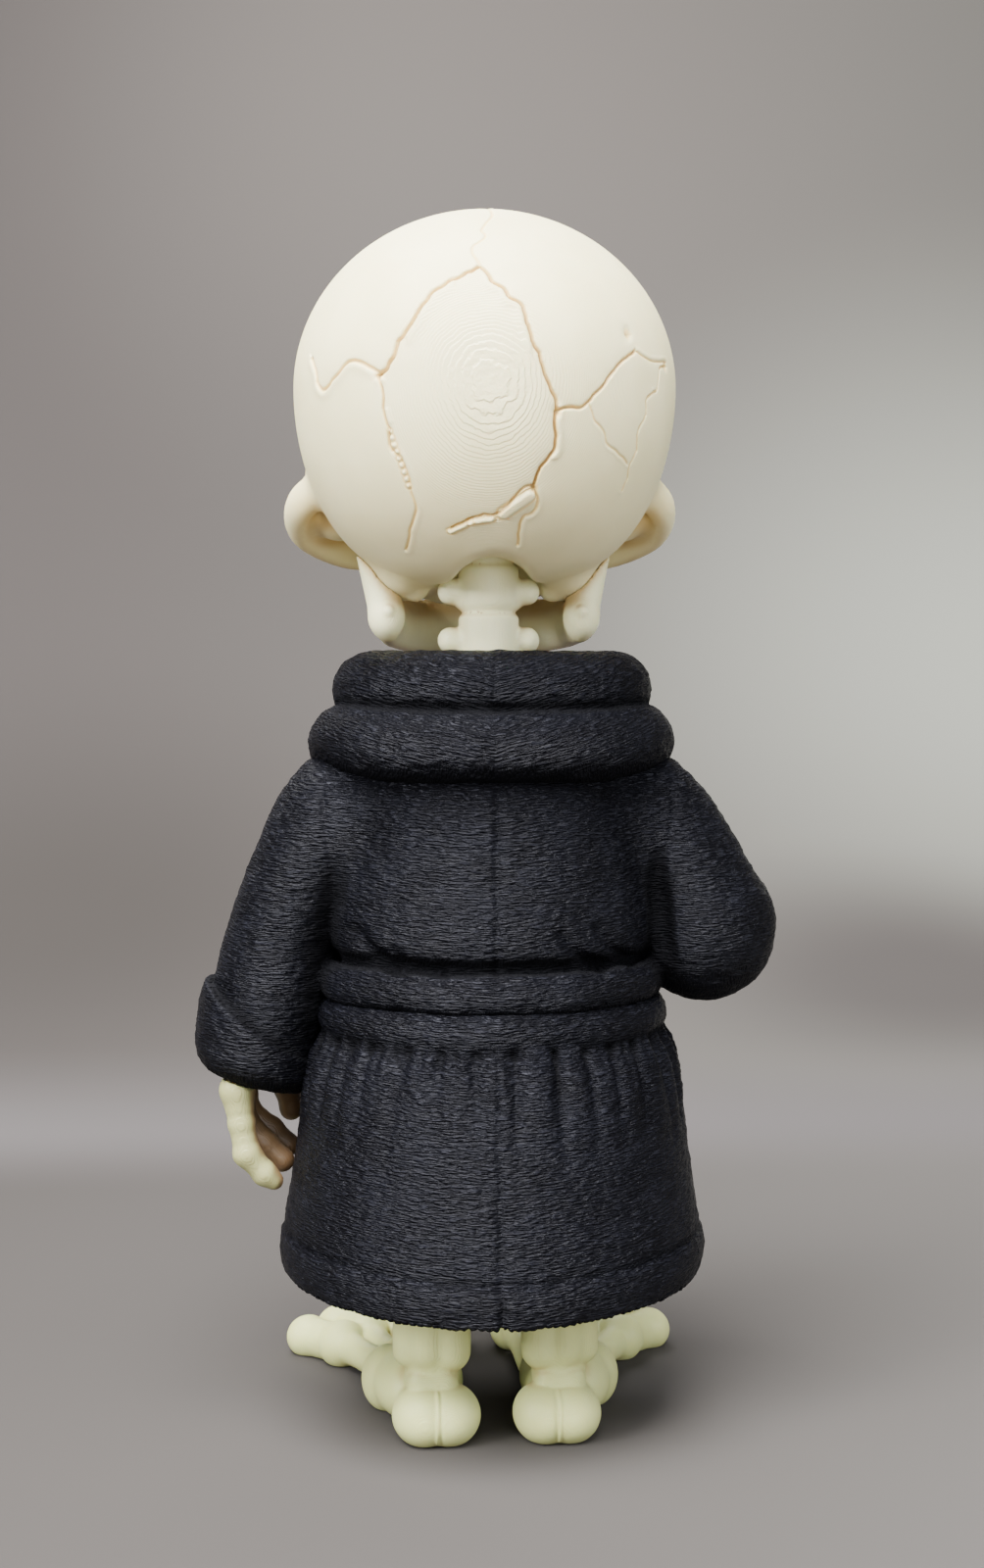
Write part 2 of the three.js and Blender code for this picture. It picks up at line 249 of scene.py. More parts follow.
def noise(p, size, seed=0):
    """Smooth noise from -1 to 1; size is its grain in millimetres, for all axes or for each."""
    cell = p / np.array(size, float)
    base = np.floor(cell)
    part = cell - base
    part = part * part * (3 - 2 * part)
    total = np.zeros(len(p))
    for corner in np.ndindex(2, 2, 2):
        weight = np.prod(np.where(corner, part, 1 - part), axis=1)
        total += weight * random_of(base + corner, seed)
    return total * 2 - 1


BLOCK = 4  # cells to a side of the blocks that are tested first
SLACK = 1.7  # how far the tested distances may be from true ones
CHUNK = 100_000  # points worked out at a time


def sampled(form, low, high, cell):
    """The form's distances on a grid, worked out in full only near its surface."""
    step = BLOCK * cell
    counts = np.ceil((np.array(high) - low) / step).astype(int) + 1
    index = np.stack(np.meshgrid(*map(np.arange, counts), indexing="ij"), -1).reshape(-1, 3)
    middle = low + index * step + (step - cell) / 2
    coarse = form(middle)
    near = np.abs(coarse) < step * SLACK
    inner = np.stack(np.meshgrid(*[np.arange(BLOCK) * cell] * 3, indexing="ij"), -1).reshape(-1, 3)
    values = np.repeat(coarse[:, None], BLOCK**3, axis=1)
    points = (low + index[near][:, None] * step + inner).reshape(-1, 3)
    parts = np.array_split(points, len(points) // CHUNK + 1)
    values[near] = np.concatenate([form(part) for part in parts]).reshape(-1, BLOCK**3)
    return values.reshape(*counts, BLOCK, BLOCK, BLOCK).transpose(0, 3, 1, 4, 2, 5).reshape(counts * BLOCK)


def skin(form, low, high, cell):
    """A form's surface as points and four-sided faces, with a point in each cell it crosses."""
    low = np.array(low, float)
    values = sampled(form, low, high, cell)
    inside = values < 0
    corners = np.array(list(np.ndindex(2, 2, 2)))
    size = np.array(values.shape) - 1
    count = sum(
        inside[x : x + size[0], y : y + size[1], z : z + size[2]].astype(np.int8) for x, y, z in corners
    )
    cells = np.argwhere((count > 0) & (count < 8))
    number = np.full(size, -1)
    number[tuple(cells.T)] = np.arange(len(cells))
    at_corners = [values[tuple((cells + c).T)] for c in corners]
    total, hits = np.zeros((len(cells), 3)), np.zeros(len(cells))
    for a, axis in np.argwhere(corners == 0):
        start, end = at_corners[a], at_corners[a + (4, 2, 1)[axis]]
        crossed = (start < 0) != (end < 0)
        part = np.divide(start, start - end, out=np.zeros(len(cells)), where=crossed)
        total += crossed[:, None] * (corners[a] + part[:, None] * np.eye(3)[axis])
        hits += crossed
    points = low + (cells + total / hits[:, None]) * cell
    faces = []
    for axis in range(3):
        u, v = np.eye(3, dtype=int)[[axis - 2, axis - 1]]
        change = np.diff(inside.astype(int), axis=axis)
        at = np.argwhere(change)
        quads = np.stack([number[tuple((at - shift).T)] for shift in (0 * u, u, u + v, v)], axis=1)
        flip = change[tuple(at.T)] > 0
        quads[flip] = quads[flip][:, ::-1]
        faces.append(quads)
    return points, np.vstack(faces)


def normals_of(form, points, reach=0.05):
    """The form's outward directions at points, and how steeply its distance grows."""
    slopes = [form(points + offset) - form(points - offset) for offset in np.eye(3) * reach]
    gradient = np.stack(slopes, axis=1) / (2 * reach)
    steep = np.maximum(lengths(gradient), 1e-3)
    return gradient / steep[:, None], steep


def settled(form, points, cell, rounds=2):
    """The points moved on to the form's true surface."""
    for _ in range(rounds):
        direction, steep = normals_of(form, points)
        step = np.clip(form(points) / steep, -0.5 * cell, 0.5 * cell)
        points = points - direction * step[:, None]
    return points


def hollowness(forms, points, direction, reaches=(1.5, 3, 6)):
    """How much of the light the forms keep from each point, from 0 to 1."""
    shut = np.zeros(len(points))
    for upwards in (0, 0.9):
        way = direction + [0, 0, upwards]
        for reach in reaches:
            ahead = points + way * reach
            shut += np.clip(1 - np.min([form(ahead) for form in forms], axis=0) / reach, 0, 1)
    return shut / (2 * len(reaches))


def refined(points, faces, near):
    """The mesh with each edge cut in two whose ends are both marked."""
    work = bmesh.new()
    corners = [work.verts.new(point) for point in points]
    work.verts.index_update()
    for face in faces:
        work.faces.new([corners[i] for i in face])
    marked = [e for e in work.edges if all(near[v.index] for v in e.verts)]
    bmesh.ops.subdivide_edges(work, edges=marked, cuts=1, use_grid_fill=True)
    work.verts.index_update()
    points = np.array([v.co for v in work.verts])
    faces = [[v.index for v in f.verts] for f in work.faces]
    work.free()
    return points, faces


def placed(name, data):
    """A new object in the scene."""
    made = bpy.data.objects.new(name, data)
    bpy.context.collection.objects.link(made)
    return made


def piece(node, part, finish, points, faces, marks):
    """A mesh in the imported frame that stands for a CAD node, with marks kept at its points."""
    name = f"{node}_{part}"
    mesh = bpy.data.meshes.new(name)
    mesh.from_pydata(((points + PACKED_SHIFT) * MM).tolist(), [], [list(map(int, f)) for f in faces])
    mesh.shade_smooth()
    for mark, values in marks.items():
        mesh.attributes.new(mark, "FLOAT", "POINT").data.foreach_set("value", values.astype(np.float32))
    mesh.materials.append(finish)
    made = placed(name, mesh)
    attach(made, "root")
    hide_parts(node)


MARGIN = 2  # how far past its node's box a form is looked for


def sculpt(node, part, finish, form, cell, relief=None, finer_at=(), beside=()):
    """Makes a form's mesh, finer where asked, adds its relief and marks its hollows."""
    low, high = np.array(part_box(node)) / MM - PACKED_SHIFT
    low, high = low - MARGIN, high + MARGIN
    cell = cell * 1
    points, faces = skin(form, low, high, cell)
    points = settled(form, points, cell)
    for near in finer_at:
        points, faces = refined(points, faces, near(points))
        points = settled(form, points, cell / 2, 1)
    direction, _ = normals_of(form, points)
    # The hollow mark sets where the finishes paint shade.
    marks = {"hollow": hollowness([form, *beside], points, direction)}
    if relief:
        height, more = relief(points, direction)
        points = points + direction * height[:, None]
        marks.update(more)
    piece(node, part, finish, points, faces, marks)


# Skull

CRANIUM = {"y": 1.0, "z": 169.5, "wide": 30.9, "back": 33.0, "front": 30.0, "up": 28.5, "down": 37.0}
BASE_LIFT = 5.0
NECK_SOCKET_Z = 137.5


def level_share(z):
    """How far a height is over the cranium's middle: 1 at its top, -1 at its flattened base."""
    share = np.linspace(0, 1, 60)
    depths = CRANIUM["down"] * share - BASE_LIFT * share**5
    low = np.interp(-z, [*depths, depths[-1] + 12], [*share, 2])
    return np.where(z > 0, z / CRANIUM["up"], -low)


def cranium(p):
    """The egg of the cranium, a little narrower at the face."""
    x, y = p[:, 0], p[:, 1] - CRANIUM["y"]
    level = level_share(p[:, 2] - CRANIUM["z"])
    forward = np.where(y > 0, y / CRANIUM["back"], y / CRANIUM["front"])
    narrow = 1 - 0.14 * ease(-forward, 0.2, 1) * ease(-level, -0.3, 0.6)
    reach = np.sqrt((x / CRANIUM["wide"] / narrow) ** 2 + forward**2 + level**2)
    return (reach - 1) * CRANIUM["up"]


def on_back(x, z):
    """The place on the cranium's back that is seen at x and z from behind."""
    inside = np.clip(1 - (x / CRANIUM["wide"]) ** 2 - level_share(z - CRANIUM["z"]) ** 2, 0, 1)
    return np.stack([x, CRANIUM["y"] + CRANIUM["back"] * np.sqrt(inside), z], axis=-1)


def teeth(centre, wide, deep, spread, count, radii):
    """A row of teeth along the front of an oval."""
    row = []
    x, y, z = centre
    for turn in np.linspace(-spread, spread, count):
        a = math.radians(turn)
        row.append(ball((x + wide * math.sin(a), y - deep * math.cos(a), z), radii, (0, 0, turn)))
    return row


def skull_form():
    """The skull in the head's frame, with its middle plane at x = 0."""
    clay = Clay().add(cranium)
    clay.add(ball((0, -17.5, 148.5), (18, 13, 12)), ball((0, -21, 162), (20, 9.5, 6)), soft=4)
    clay.add(ball((0, -14, 141), (14.5, 14, 5.9)), soft=2)
    for side in SIDES:
        brow = [(2, -28.4, 163, 2.1), (9, -28.9, 166.2, 2.3), (16, -26.6, 165.5, 2.3), (21.5, -21, 160.5, 2)]
        cheek = [(25, 1, 155.2, 2.2), (30.1, -6, 151.4, 2.3), (29.2, -14, 148, 2.5), (21.4, -22.6, 146, 3)]
        cheek += [(12.5, -26, 147.2, 3.2)]
        clay.add(tube(on_side(side, brow)), soft=3)
        clay.cut(ball((side * 33, -15, 158), (7, 9, 8)), soft=3)
        clay.add(tube(on_side(side, cheek), (1, 1, 1.4)), soft=1.2)
        clay.add(ball((side * 23.5, -11, 152), 6), ball((side * 13, -4, 142), (6, 10, 6.2)), soft=1.5)
        clay.add(rod((side * 12, -0.5, 143), (side * 11.4, -1, 138), 3, 2.4), soft=0.6)
    clay.add(rod((0, -28, 161), (0, -29.4, 153.6), 2.4, 1.8), soft=2)
    clay.cut(*[ball((side * 11.4, -28, 156.4), (8.4, 10, 8.6)) for side in SIDES], soft=1.6)
    clay.cut(*[ball((s * 1.9, -32, 148.4), (2.3, 6, 3.8), (0, s * -20, 0)) for s in SIDES], soft=0.6)
    clay.add(*teeth((0, -16, 140.4), 12, 13.6, 62, 8, (1.85, 1.6, 2.6)), soft=0.35)
    neck_x = NECK_X - HEAD_X
    clay.cut(ball((neck_x, NECK_Y, NECK_SOCKET_Z), (8.8, 10, 9)), soft=0.8)
    return clay.cut(rod((neck_x, NECK_Y, 134.8), (neck_x, 24, 134.8), 7.4), soft=1.2)


# The joints and cracks on the back of the skull: turning points in the head's x and z, the groove's depth
# and width, and which side of the line stands proud.
SUTURES = [
    ([(0.4, 198), (0.4, 194.6), (2.2, 191.1), (1.6, 189.8), (3.3, 187.4), (2.5, 184.2)], 0.2, 0.5, 1),
    ([(2.5, 184.2), (5.8, 182.9), (10, 179.7), (12.6, 176), (15.8, 170), (17.6, 168.3)], 0.75, 2.2, 1),
    ([(2.5, 184.2), (0.8, 181.5), (-3.1, 178.7), (-4.3, 174.3), (-8, 165.8), (-8.8, 162.7)], 0.7, 1.6, -1),
    ([(-8.8, 162.7), (-10.8, 163.5), (-13.5, 164), (-17.5, 169), (-21.2, 173)], 0.5, 1.3, -1),
    ([(-8.8, 162.7), (-8.5, 157.7), (-7.3, 155.9), (-5.6, 151.7)], 0.65, 1.2, 1),
    ([(-5.6, 151.7), (-3.7, 151), (-1.2, 149), (0.5, 147.9), (2.4, 147.9), (6.7, 145.8)], 0.45, 0.9, 1),
    ([(-5.6, 151.7), (-6, 150), (-5.2, 148.2), (-4, 147.1), (-3.4, 143.5)], 0.35, 0.8, 1),
    ([(17.6, 168.3), (17.1, 165.4), (16.2, 161.5), (15.5, 157.2)], 0.5, 0.9, 1),
    ([(15.5, 157.2), (13.8, 154), (12.6, 150.8), (12.7, 146.6), (13.5, 143)], 0.3, 0.9, 1),
    ([(17.6, 168.3), (20.7, 170.7), (22.6, 170.5), (25.1, 167.4), (26.8, 168), (28, 172.5)], 0.42, 1.5, 1),
    ([(-27.5, 171.8), (-26.1, 170.8), (-25.6, 167.7), (-24.2, 166), (-21.3, 156.5), (-20.3, 152)],
     0.3, 0.5, -1),
    ([(-13.5, 163.8), (-15.2, 161.3), (-18.2, 157.6), (-20.5, 156)], 0.18, 0.35, -1),
    ([(-21.4, 172.5), (-24.3, 171.9), (-27.5, 172)], 0.18, 0.5, 1),
]
# Raised splinters as start, end, radius and rise, and pits as place, radius and depth.
SPLINTERS = [((-4.9, 150.4), (-1.2, 147.9), 1.0, 0.4), ((0.6, 147.1), (3.8, 146.7), 0.5, 0.3)]
SPLINTERS += [((3.8, 146.7), (6.7, 145.4), 0.45, 0.25)]
JOINT_BEADS = np.linspace((16, 160), (13.1, 152), 9)
BEAD_RADIUS, BEAD_RISE = 0.42, 0.17
PITS = [((-20.2, 175.2), 0.6, 0.8), ((-27.3, 171.7), 0.6, 0.4), ((17.6, 168.3), 0.6, 0.4)]
PITS += [((-8.8, 162.5), 0.55, 0.4), ((-5.6, 151.6), 0.55, 0.4)]
FRONT_SEAM = {"y": -9.0, "wave": 1.2, "depth": 0.3, "width": 0.6}  # between the skull's front and its top
TEMPLE = {"at": (25, -5, 152), "reach": 4.8}  # painted shade in the dip in front of each cheekbone's root


def crack_line(turning_points, seed):
    """A crack's route over the back of the cranium, a little ragged."""
    rows = smooth_path(turning_points, per_span=10)
    x, z = rows.T
    flat = np.stack([x, np.full(len(x), 7.0 * seed), z], axis=1)
    ragged = 0.6 * noise(flat, 2.4, seed) + 0.16 * noise(flat, 0.9, seed + 50)
    right, up = np.gradient(rows, axis=0).T
    across = np.stack([up, -right], axis=1)
    return on_back(*(rows + across / lengths(across)[:, None] * ragged[:, None]).T)


def off_line(p, line):
    """Each point's distance from a line over the back, positive on the line's left."""
    best = np.full(len(p), 99.0)
    for a, b in zip(line, line[1:]):
        along = b - a
        part = np.clip((p - a) @ along / (along @ along), 0, 1)
        gap = p - a - part[:, None] * along
        away = lengths(gap) * np.sign(along[2] * gap[:, 0] - along[0] * gap[:, 2])
        best = np.where(np.abs(away) < np.abs(best), away, best)
    return best


def bell(distance, width):
    """1 at no distance, almost 0 at twice the width."""
    return np.exp(-((distance / width) ** 2))


def trench(away, width):
    """1 in the bed of a groove, 0 outside it."""
    return 1 - ease(np.abs(away), 0.11 * width, 0.11 * width + 0.26)


def groove(away, depth, width):
    """A groove with a flat bed, a lip on its positive side and a soft slope on the other."""
    lip = 0.3 * depth * bell(away - 0.5 - 0.2 * width, 0.45 * width) * (away > 0)
    slope = 0.25 * np.exp(-np.abs(away) / (0.16 + 0.5 * width * (away < 0)))
    return lip - depth * (0.55 * trench(away, width) + 0.2 * bell(away, 0.2) + slope)


def sutures_near(p):
    """For each suture: the points near it, how far on its proud side, its depth and width."""
    head = p - [HEAD_X, 0, 0]
    for seed, (route, depth, width, proud) in enumerate(SUTURES, SEEDS["cracks"]):
        line = crack_line(route, seed)
        low, high = line.min(axis=0) - 4, line.max(axis=0) + 4
        close = np.flatnonzero(np.all((head > low) & (head < high), axis=1))
        yield close, off_line(head[close], line) * proud, depth, width


def near_suture(p, reach):
    near = np.zeros(len(p), bool)
    for close, away, _, _ in sutures_near(p):
        near[close[np.abs(away) < reach]] = True
    return near


def finer_skull(p):
    """The face, the base and a band along each suture."""
    _, y, z = p.T
    return near_suture(p, 2.4) | ((y < -12) & (z < 168)) | (z < 146)


SKULL_LEVELS = [finer_skull, lambda p: near_suture(p, 1.5), lambda p: near_suture(p, 0.55)]


def skull_relief(p, _):
    """The sutures with their splinters, beads and pits, the temples and the front seam, with painted shade
    in the grooves, rims, pits and temples.
    """
    height, crack = np.zeros(len(p)), np.zeros(len(p))
    for close, away, depth, width in sutures_near(p):
        shallow = 1 - ease(-height[close], 0, depth)
        height[close] = np.minimum(height[close], 0) + groove(away, depth, width) * shallow
        # Painted shade along the suture: a broad warm band and a darker line near the groove's bed.
        shade = 0.5 * trench(away, width) + 0.5 * bell(away - 0.05 * width, 0.2)
        shade = np.minimum(shade + 0.12 * bell(away, 0.5 * width), 1)
        crack[close] = np.maximum(crack[close], shade * min(1, 0.2 + depth * 1.3))
    head = p - [HEAD_X, 0, 0]
    proud = [(rod(on_back(*start), on_back(*end), radius), rise) for start, end, radius, rise in SPLINTERS]
    proud += [(ball(on_back(x, z), BEAD_RADIUS), BEAD_RISE) for x, z in JOINT_BEADS]
    for shape, rise in proud:
        away = shape(head)
        rim = bell(away - 0.12, 0.2)
        height += rise * (1 - ease(away, -0.5, 0.1)) - 0.5 * rise * rim
        # Painted shade on the rim round each splinter and bead.
        crack = np.maximum(crack, 0.5 * rim)
    for place, radius, depth in PITS:
        pit = bell(lengths(head - on_back(*place)), radius)
        height -= depth * pit
        # Painted shade in each pit.
        crack = np.maximum(crack, pit)
    # Painted shade in front of each cheekbone's root.
    for side in SIDES:
        away = lengths(head - np.array(TEMPLE["at"]) * [side, 1, 1])
        crack = np.maximum(crack, 0.9 * bell(away, TEMPLE["reach"]))
    wander = FRONT_SEAM["wave"] * noise(head * [1, 0, 1], 5, SEEDS["front seam"])
    offset = head[:, 1] - FRONT_SEAM["y"] - wander - 0.35 * noise(head, 1.5, SEEDS["front seam"] + 1)
    seam = bell(offset, FRONT_SEAM["width"]) * ease(head[:, 2], 160, 166)
    height -= FRONT_SEAM["depth"] * seam
    # The front seam gets painted shade too.
    return height, {"crack": np.maximum(crack, seam * 0.5)}


# Jaw

JAW_GAP = 0.12


def jaw_form(skull):
    """The lower jaw in the head's frame: a bow with teeth and two upright branches."""
    bow = [(0, -27.8, 132, 2.5), (9.6, -24, 132, 2.5), (14.6, -12.5, 132.6, 2.4), (15.8, 0, 133.2, 2.3)]
    clay = Clay().add(tube(both_sides(bow), (1, 1, 1.85)))
    clay.add(ball((0, -29, 129.2), (5, 2.6, 2.8)), soft=2)
    for side in SIDES:
        clay.add(rod((side * 17.8, -2.2, 145), (side * 16.1, 0.2, 133.4), 3.4, 2.7), soft=1.2)
        clay.add(ball((side * 16, 0.5, 132.9), (2.9, 3.3, 3.5)), soft=0.8)
        clay.add(ball((side * 15.8, 3.3, 133.9), 1), soft=0.5)
    clay.cut(tube([(-15.6, 4.2, 143, 0.6), (-15.3, 4.2, 140, 0.9), (-15.4, 4.3, 136, 0.5)]), soft=0.7)
    clay.add(*teeth((0, -15.2, 134.4), 12.4, 12.9, 60, 8, (1.75, 1.5, 2.2)), soft=0.35)
    return clay.cut(grown(skull, JAW_GAP), soft=0.1)


# Neck

NECK_BOTTOM, NECK_TOP = 118.3, 146.1
BONE_Z, BONE_PITCH, BONE_RADIUS = 137.1, 7.9, 4.9


def neck_form():
    """A stack of spools, each with a wing and a knob on either side."""

    def spools(p):
        level = (p[:, 2] - BONE_Z) / BONE_PITCH + 0.44
        part = level - np.floor(level)
        wide = BONE_RADIUS - 0.75 * bell(part, 0.13) - 0.55 * bell(part - 1, 0.06)
        return lengths((p - [NECK_X, NECK_Y, 0]) * [1, 1, 0]) - wide

    clay = Clay().add(spools)
    for level in range(3):
        z = BONE_Z - level * BONE_PITCH
        for side in SIDES:
            end = (NECK_X + side * 5.8, NECK_Y, z)
            clay.add(rod((NECK_X + side * 2.6, NECK_Y, z - 0.1), end, 2.9, 2), soft=0.4)
            clay.add(rod((NECK_X + side * 2.8, NECK_Y, z - 2), end, 2, 1.6), soft=0.4)
            clay.add(ball((NECK_X + side * 6.3, NECK_Y, z), (2, 2.2, 2.1)), soft=0.5)
    clay.keep(below(NECK_TOP), soft=1.2)
    return clay.keep(above(NECK_BOTTOM), soft=0.3)


# Robe

UNDERSIDE_Z = 30.5
HEM = {"z": 23.9, "lift": 1.8, "wide": 34, "deep": 31}
BELT = {"crease": 71.0, "sway": 0.5, "overlap": 0.3}
HEM_TEETH = {"count": 165, "depth": 0.85}
# How many folds go round, how deep they are, how far they wander and the height at which they begin.
GATHERS = [(31, 1.1, 1.3, 43), (67, 0.45, 0.7, 58)]
# Height, half-width and half-depth of the robe without its belt, hem to shoulders.
TRUNK = [
    (20, 33.6, 30.8), (24, 34.3, 31.2), (26.5, 34.8, 31.7), (30, 34.9, 31.8), (40, 33.4, 30.2),
    (52, 31.7, 27.9), (58, 30.7, 26.4), (62, 29.4, 25.1), (65.5, 27.4, 23.2), (71, 26, 22.2),
    (77.3, 25.1, 21), (80, 27, 22.6), (84, 27.6, 23), (90, 27, 22.4), (99, 25.5, 22),
    (107, 24.3, 20.8), (113, 22.5, 17), (118, 19, 14.5), (124, 14, 11),
]


def gathered(angle, z):
    """The uneven folds drawn in under the belt: the finer ones die out sooner."""
    ring = np.stack([np.cos(angle) * 10, np.sin(angle) * 10, z / 12], axis=1)
    under_belt = 1 - ease(z, 65.5, 67)
    total = np.zeros(len(angle))
    for seed, (count, depth, wander, start) in enumerate(GATHERS, SEEDS["gathers"]):
        phase = count * angle + wander * 2 * noise(ring, 4, seed)
        strength = 0.65 + 0.5 * noise(ring, 2.5, seed + 10)
        fall = ease(z, start, 65) ** 1.3 * under_belt
        total += depth * strength * fall * (2 * np.abs(np.sin(phase / 2)) ** 0.8 - 1)
    return total


def trunk(p):
    """The robe's body with its gathers, as ovals stacked up."""
    heights, *sizes = smooth_path(TRUNK).T
    x, y, z = p.T
    z = z - hem_rise(p) * (1 - ease(z, 24, 42))
    wide, deep = (np.interp(z, heights, size) for size in sizes)
    angle = np.arctan2(y / deep, x / wide)
    return (oval(p, wide, deep) - 1) * np.sqrt(wide * deep) - gathered(angle, z)


def hem_rise(p):
    """How much higher the hem runs towards the sides."""
    return HEM["lift"] * (p[:, 0] / HEM["wide"]) ** 2


def round_robe(p, size):
    """Places on a ring, for noise that runs round the robe without a break."""
    angle = np.arctan2(p[:, 1], p[:, 0])
    return np.stack([np.cos(angle), np.sin(angle), p[:, 2] / 100], axis=1) * size


def roll(z, wide, deep, half_high, thick, seed):
    """A belt's roll lying round the robe, a little uneven."""

    def distance(p):
        ring = round_robe(p, 28)
        out = (oval(p, wide, deep) - 1) * math.sqrt(wide * deep) - 0.35 * noise(ring, 6, seed)
        up = (p[:, 2] - z - 0.4 * noise(ring, 9, seed + 1)) * thick / half_high
        return np.hypot(out, up) - thick

    return distance


def over_belt_line(p):
    """The height over the crease between the belt's two rolls, which sways a little."""
    return p[:, 2] - BELT["crease"] - BELT["sway"] * noise(round_robe(p, 28), 11, SEEDS["belt"])


def belt_tail(side):
    rows = [(1.5, -26, 70, 2), (3.4, -28.6, 63, 2.1), (4.8, -30.8, 53, 2.2), (5.4, -32.2, 43.5, 2.3)]
    return tube(on_side(side, rows), (1.35, 0.8, 1))


def hem_height(p):
    """The height at which the robe ends, in small teeth."""
    turns = np.arctan2(p[:, 1], p[:, 0]) * HEM_TEETH["count"] / math.tau
    ring = round_robe(p, 34)
    turns = turns + 0.35 * noise(ring, 4, SEEDS["hem teeth"])
    tooth = np.abs(turns - np.round(turns)) * 2
    depth = HEM_TEETH["depth"] * (0.55 + 0.45 * noise(ring, 1.7, SEEDS["hem teeth"] + 1))
    return HEM["z"] + hem_rise(p) + tooth * depth


def near_hem(p):
    """The rim of the hem, where the teeth need a finer mesh."""
    return (oval(p, HEM["wide"], HEM["deep"]) > 0.9) & (p[:, 2] < 26.8 + hem_rise(p))


def skirt_form():
    """The robe from the belt's crease down, hollow below, with the belt's two ends."""
    clay = Clay().add(roll(68.2, 26.3, 22.1, 3.4, 2.3, SEEDS["lower roll"]))
    clay.keep(lambda p: over_belt_line(p) - BELT["overlap"], soft=0.2)
    clay.add(Clay().add(trunk).keep(below(73), soft=0.3), soft=0.4)
    clay.add(belt_tail(LEFT), belt_tail(RIGHT), soft=0.5)
    clay.keep(lambda p: hem_height(p) - p[:, 2], soft=0.8)

    def inside(p):
        return np.maximum((oval(p, 31.9, 28.9) - 1) * 30, p[:, 2] - UNDERSIDE_Z)

    return clay.cut(inside, soft=0.6)


def left_sleeve():
    sleeve = [(14, 0.5, 108, 6.5), (24.6, 0.5, 102.3, 9.2), (31, -0.5, 90.3, 9.1)]
    sleeve += [(34.4, -2, 81, 9.2), (36.2, -3, 72, 9.7), (37.6, -3.7, 63.5, 9.2)]
    cuff = [(36.3, -3, 73, 10.5), (37.7, -3.4, 68, 10.9), (38.5, -3.8, 62.5, 10.7), (39.1, -4, 56, 9.8)]
    rim = Clay().add(tube(cuff, (1, 1.1, 1)))
    rim.keep(facing((37.2, -3.1, 66.4), (-0.6, 0.1, 0.8)), soft=1)
    end, down = (39.4, -4, 56), (0.25, 0, -0.968)
    clay = Clay().add(tube(sleeve, (1, 1.13, 1)))
    clay.keep(facing((39.2, -4, 60), down), soft=1.5)
    clay.add(rim, soft=0.15)
    clay.keep(facing(end, down), soft=4.5)
    return clay.cut(ball((39.3, -4, 57.2), (1.8, 6.6, 6.6), (0, 75, 0)), soft=1)


def right_sleeve():
    upper = [(-14, 0.5, 108, 6.5), (-24.6, 0.5, 102.3, 9.2), (-31.4, 0.5, 91.5, 10.4), (-34.6, 0.6, 84, 11)]
    lower = [(-35.3, -1, 82.2, 11), (-35, -10, 83, 10.6), (-31.5, -19, 84.2, 10.6)]
    lower += [(-30.4, -20.6, 84.6, 10.4)]
    cuff = [(-33, -16, 83.8, 11.2), (-31, -19.8, 84.4, 11.4), (-30.2, -21, 84.7, 11)]
    end = (-28.6, -23.2, 85.1)
    clay = Clay().add(tube(upper, (1, 1.08, 1)))
    clay.add(ball((-35.3, 0.4, 81.6), (11.8, 11.4, 12.1)), tube(lower), soft=2)
    clay.add(tube(cuff), soft=0.5)
    clay.keep(facing(end, (0.52, -0.84, 0.16)), soft=1.4)
    return clay.cut(ball(end, (1.8, 7.6, 7.6), (0, 0, -58)), soft=1)


# The deep creases between the arms and the back.
ARMPITS = [
    tube([(26, 12.5, 96, 0.3), (25.8, 11.2, 91.5, 1), (26.6, 10.6, 86, 1.6), (28, 10, 78, 1.7)]),
    tube([(-26.4, 12.4, 97, 0.3), (-26, 11, 92, 1), (-26.6, 9.8, 86, 1.6), (-26.8, 9.6, 79, 2)]),
]


def jacket_form():
    """The robe from the belt's crease up, with both sleeves and the belt's knot."""
    clay = Clay().add(trunk).keep(below(118), soft=0.8)
    clay.add(roll(73.9, 26.2, 22, 3.3, 2.2, SEEDS["upper roll"]), soft=0.2)
    clay.keep(lambda p: -over_belt_line(p), soft=0.2)
    clay.add(*[rod((side * 18, 4, 105.5), (side * 26, 3, 97), 8) for side in SIDES], soft=4)
    clay.add(left_sleeve(), right_sleeve(), soft=0.7)
    clay.cut(*ARMPITS, soft=1.2)
    return clay.add(ball((0, -25.5, 70.8), (4.6, 3.8, 4.6)), soft=0.5)


def collar_form():
    """The shawl collar: two thick rolls that come down in front to the belt."""
    upper = [(0, 15.6, 121.9, 5.6), (13.5, 12, 121.9, 5.6), (20.5, 2, 121.4, 5.6), (17.5, -9.5, 116.5, 5.5)]
    upper += [(10.5, -17, 106, 5.3), (4, -21.5, 93, 5), (0.8, -22.5, 82, 4.6)]
    lower = [(0, 18.8, 112.4, 5.8), (15.5, 15, 112.6, 5.8), (24, 3, 113.2, 5.7), (22.5, -10, 108, 5.6)]
    lower += [(15.5, -18.5, 97, 5.4), (7, -22.5, 85, 5), (2.2, -23, 77.5, 4.4)]
    return Clay().add(*[tube(both_sides(half), per_span=5) for half in (lower, upper)], soft=0.5)


# The printed fleece's short strokes follow the layers. Each kind's depth and its grain along the axes.
TUFTS = [(0.14, (4, 4, 2)), (0.08, (1.8, 1.8, 0.7)), (0.1, (1.5, 1.5, 0.45))]
BACK_SEAM = {"x": 0.7, "depth": 0.45, "width": 0.5}
HEM_FOLD = {"z": 31.2, "depth": 0.45, "width": 0.5, "rise": 0.25}
